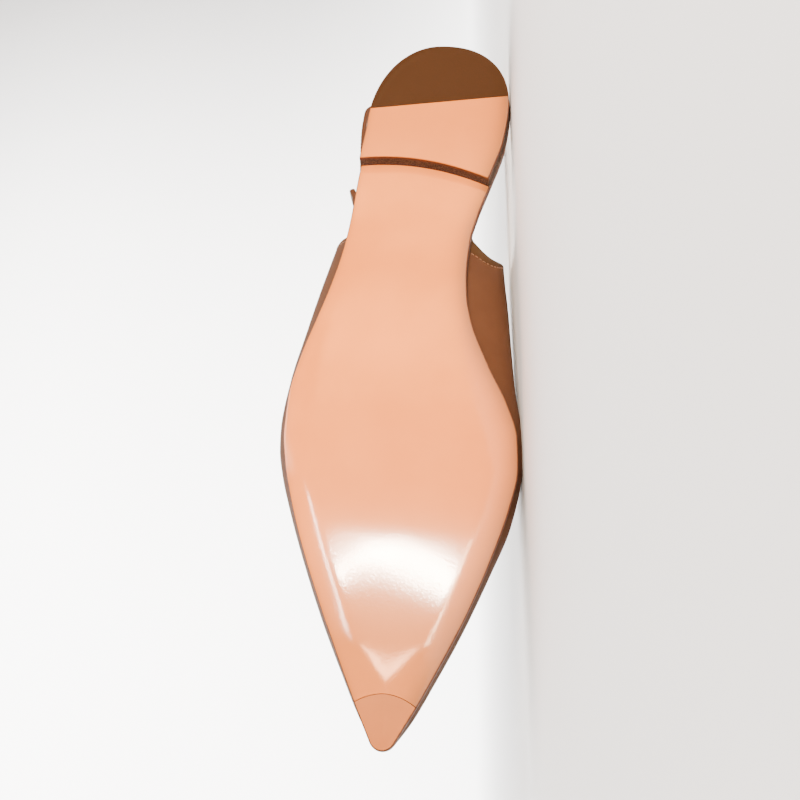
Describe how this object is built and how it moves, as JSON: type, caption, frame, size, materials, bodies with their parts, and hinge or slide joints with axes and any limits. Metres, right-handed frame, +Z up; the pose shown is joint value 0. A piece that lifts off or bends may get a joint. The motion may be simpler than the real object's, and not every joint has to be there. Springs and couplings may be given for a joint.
{
  "type": "slingback flat shoe",
  "caption": "Left pointed-toe slingback flat shoe with a leather sole, low heel and strap round the heel, lying on its inner side, sole to the front.",
  "frame": {"origin": "middle of the lying shoe's bounding box, at the floor", "axes": "+Z up from the floor the shoe lies on; +X along the shoe from toe to heel; -Y is the way the sole faces"},
  "size_m": [0.2786, 0.0544, 0.0824],
  "materials": {
    "sole_leather": "glossy lacquered",
    "toe_insert": "satin",
    "heel_brown": "matt, edge painted",
    "heel_rubber": "matt",
    "upper_leather": "smooth, soft sheen",
    "insole_leather": "matt",
    "buckle_metal": "polished"
  },
  "bodies": {
    "root": {"outsole": "sole_leather", "toe_insert": "toe_insert", "heel_lift": "heel_brown", "heel_tread_leather": "sole_leather", "heel_tread_rubber": "heel_rubber", "upper": "upper_leather", "insole": "insole_leather", "sling_strap": "upper_leather", "quarter_strap": "upper_leather", "buckle_frame": "buckle_metal", "buckle_prong": "buckle_metal"}
  },
  "joints": []
}
